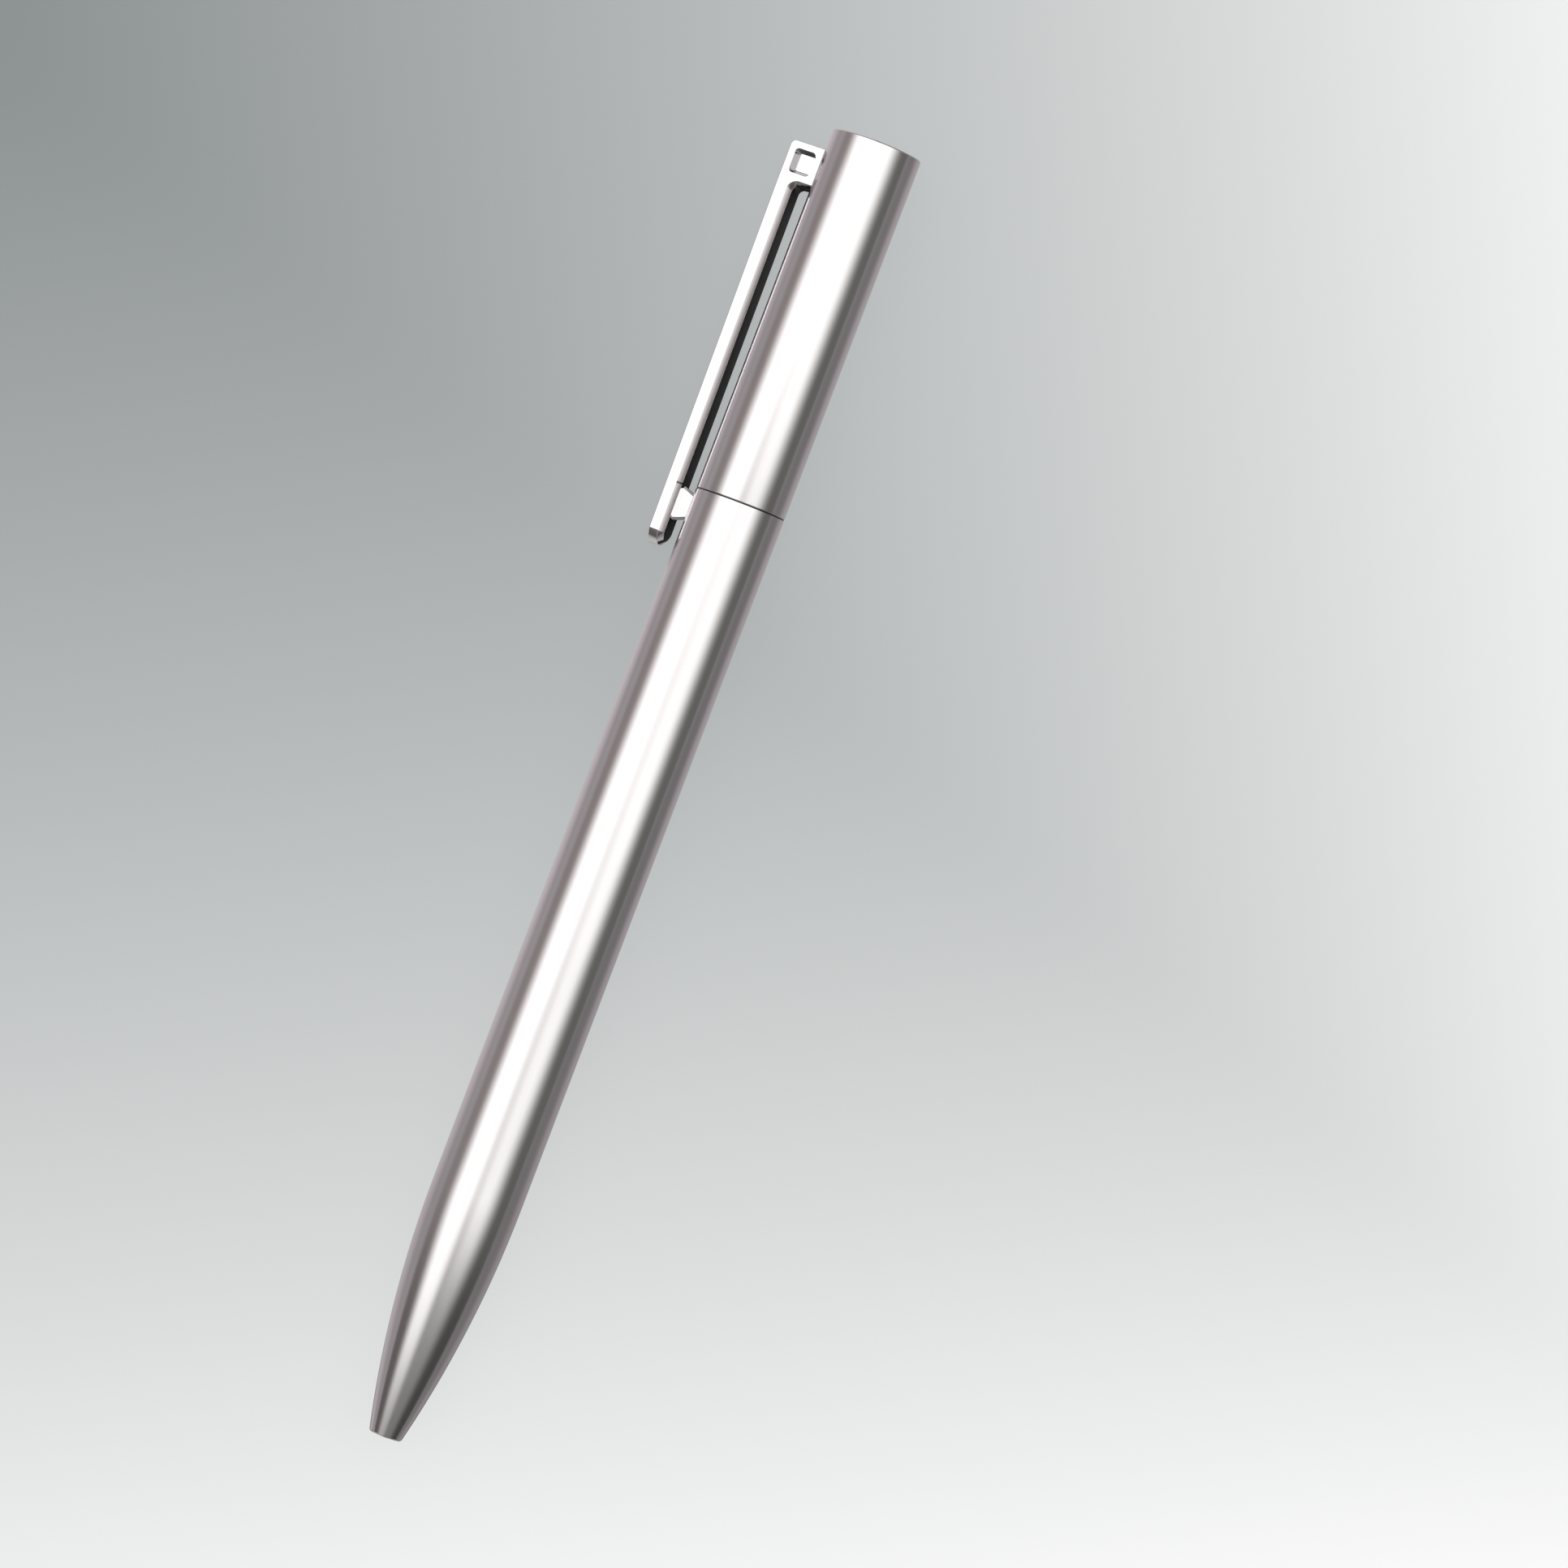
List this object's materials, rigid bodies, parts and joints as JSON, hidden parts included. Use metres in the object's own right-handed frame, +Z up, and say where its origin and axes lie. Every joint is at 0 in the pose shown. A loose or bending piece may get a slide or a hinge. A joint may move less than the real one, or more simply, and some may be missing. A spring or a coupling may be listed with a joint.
{
  "type": "twist ballpoint pen",
  "caption": "Slim metal ballpoint pen whose cap end twists to push the refill out, with a straight bar clip on a square block.",
  "frame": {"origin": "middle of the box that the pen and its clip fill as it lies on its side, on the surface that it lies on", "axes": "+X along the pen from the writing end to the cap end, +Z up, and the clip on the +Y side, resting on its lower edge"},
  "size_m": [0.1432, 0.0134, 0.0097],
  "materials": {
    "satin_silver": "fine satin plating along the barrel, bright and slightly soft in its reflections",
    "polished_silver": "bright polished plating on the clip",
    "plain_steel": "plain bright steel",
    "refill_steel": "drawn steel tube",
    "spring_steel": "drawn spring wire",
    "turned_brass": "turned brass",
    "hard_ball": "ground hard metal ball, modelled with the density of steel",
    "black_plastic": "matte black moulded plastic",
    "white_plastic": "natural moulded plastic",
    "grey_plastic": "grey moulded plastic",
    "black_rubber": "matte black rubber",
    "blue_ink": "dark blue ink paste",
    "grease": "clear yellowish follower grease"
  },
  "bodies": {
    "front": {"front_barrel": "satin_silver", "thread_insert": "turned_brass", "threaded_ferrule": "turned_brass", "seam_washer": "black_plastic", "friction_ring": "black_rubber", "guide_tube": "white_plastic", "retaining_ring": "plain_steel", "return_spring": "spring_steel"},
    "rear": {"rear_barrel": "satin_silver", "end_plug": "satin_silver", "clip": "polished_silver", "clip_saddle": "plain_steel", "clip_screw_lower": "plain_steel", "clip_screw_upper": "plain_steel", "cam_sleeve": "turned_brass"},
    "refill": {"refill_tube": "refill_steel", "refill_plug": "grey_plastic", "ink_column": "blue_ink", "ink_follower": "grease", "nib_point": "turned_brass", "drive_plunger": "white_plastic", "cam_pin": "plain_steel"},
    "ball": {"writing_ball": "hard_ball"}
  },
  "joints": [
    {"name": "twist", "type": "hinge", "parent": "front", "child": "rear", "pos_m": [0.0318, -0.00182, 0.00487], "axis": [1, 0, 0], "range_deg": [0, 180]},
    {"name": "refill_slide", "type": "slide", "parent": "front", "child": "refill", "axis": [-1, 0, 0], "range_m": [0, 0.0052], "deforming": ["return_spring"]},
    {"name": "ball_roll", "type": "hinge", "parent": "refill", "child": "ball", "pos_m": [-0.0693, -0.00182, 0.00487], "axis": [0, 1, 0], "continuous": true}
  ],
  "couplings": [
    {"joint": "twist", "follows": "refill_slide", "rad_per_m": 604.15}
  ]
}
